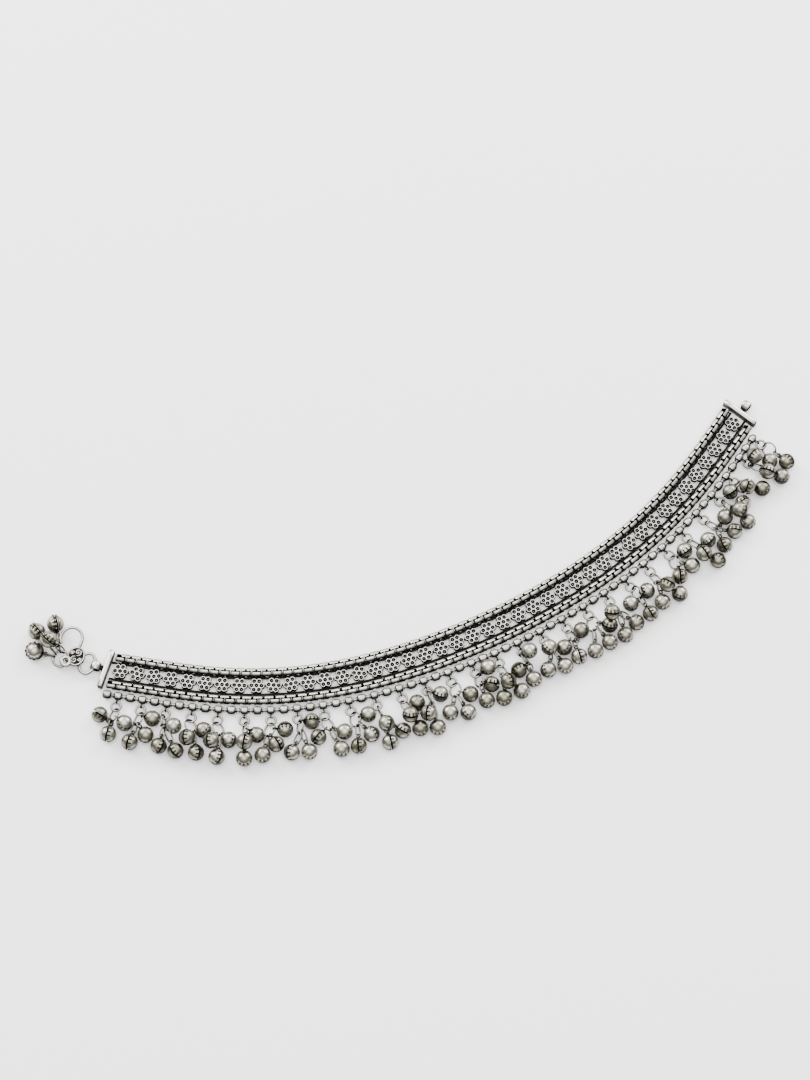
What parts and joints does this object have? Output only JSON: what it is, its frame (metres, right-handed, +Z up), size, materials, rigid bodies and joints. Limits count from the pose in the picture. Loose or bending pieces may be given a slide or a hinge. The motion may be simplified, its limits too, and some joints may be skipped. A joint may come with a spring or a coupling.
{
  "type": "anklet",
  "caption": "Oxidised silver anklet lying open: box chains edge a row of pierced flowers, with clusters of small bells below and a hook clasp.",
  "frame": {"origin": "middle of the underside of the whole lying anklet's box", "axes": "+X from the clasp end of the band to its plain end, +Y away from the bells, +Z up from the surface that it lies on"},
  "size_m": [0.2634, 0.0888, 0.0106],
  "materials": {
    "band_silver": "oxidised silver, blackened hollows, rubbed bright on top",
    "chain_silver": "oxidised silver chain, bright faces and black gaps",
    "bell_silver": "oxidised silver, satin polish on the domes",
    "clasp_silver": "oxidised cast silver"
  },
  "bodies": {
    "root": {"bead_row": "chain_silver", "bell_drop_01": "bell_silver", "bell_drop_02": "bell_silver", "bell_drop_03": "bell_silver", "bell_drop_04": "bell_silver", "bell_drop_05": "bell_silver", "bell_drop_06": "bell_silver", "bell_drop_07": "bell_silver", "bell_drop_08": "bell_silver", "bell_drop_09": "bell_silver", "bell_drop_10": "bell_silver", "bell_drop_11": "bell_silver", "bell_drop_12": "bell_silver", "bell_drop_13": "bell_silver", "bell_drop_14": "bell_silver", "bell_drop_15": "bell_silver", "bell_drop_16": "bell_silver", "bell_drop_17": "bell_silver", "bell_drop_18": "bell_silver", "bell_drop_19": "bell_silver", "bell_drop_20": "bell_silver", "bell_drop_21": "bell_silver", "bell_drop_22": "bell_silver", "bell_drop_23": "bell_silver", "bell_drop_24": "bell_silver", "bell_drop_25": "bell_silver", "bell_drop_26": "bell_silver", "bell_drop_27": "bell_silver", "bell_drop_28": "bell_silver", "bell_drop_29": "bell_silver", "bell_drop_30": "bell_silver", "clasp_bell_drop": "bell_silver", "clasp_hook": "clasp_silver", "clasp_ring": "clasp_silver", "flower_row": "band_silver", "left_end_bar": "clasp_silver", "lower_box_chain": "chain_silver", "right_end_bar": "clasp_silver", "upper_box_chain": "chain_silver"}
  },
  "joints": []
}
